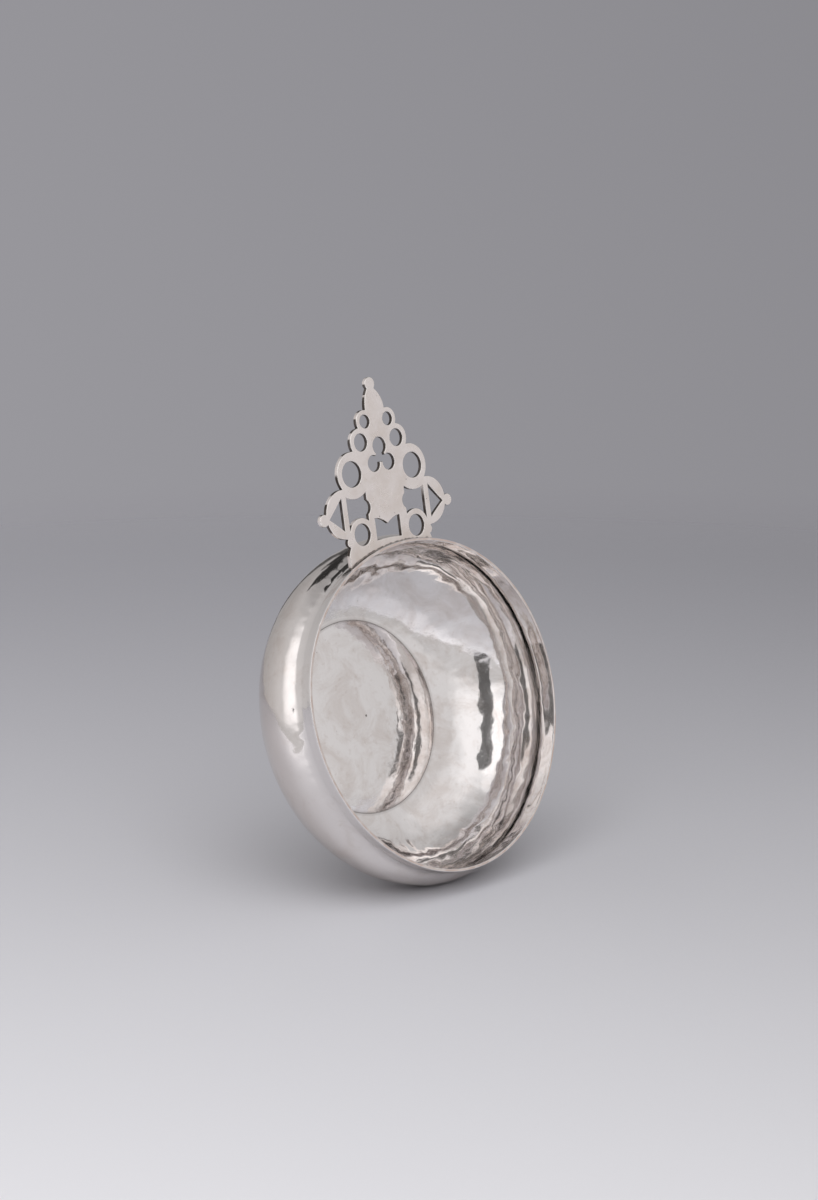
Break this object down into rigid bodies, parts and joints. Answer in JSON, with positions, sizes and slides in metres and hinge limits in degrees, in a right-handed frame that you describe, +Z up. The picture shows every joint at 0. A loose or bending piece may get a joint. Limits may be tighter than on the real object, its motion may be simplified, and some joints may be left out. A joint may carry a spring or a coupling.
{
  "type": "silver porringer bowl",
  "caption": "Shallow round silver bowl with a bulged wall, a narrowed neck, a low raised boss inside and one flat pierced handle at the rim.",
  "frame": {"origin": "middle of the overall box in X and Y, at the level of the foot ring's flat face", "axes": "+Z up out of the bowl's mouth, +X out along the handle, +Y to the left of the handle seen from above"},
  "size_m": [0.1982, 0.1386, 0.0534],
  "materials": {
    "raised_silver": "polished silver, hand-hammered, with fine wear and a light warm tarnish",
    "cast_silver": "cast silver, filed flat and rubbed to a satin, with bright worn edges",
    "solder": "silver solder, dull and slightly darker than the silver"
  },
  "bodies": {
    "root": {"bowl": "raised_silver", "handle": "cast_silver", "handle_solder": "solder"}
  },
  "joints": []
}
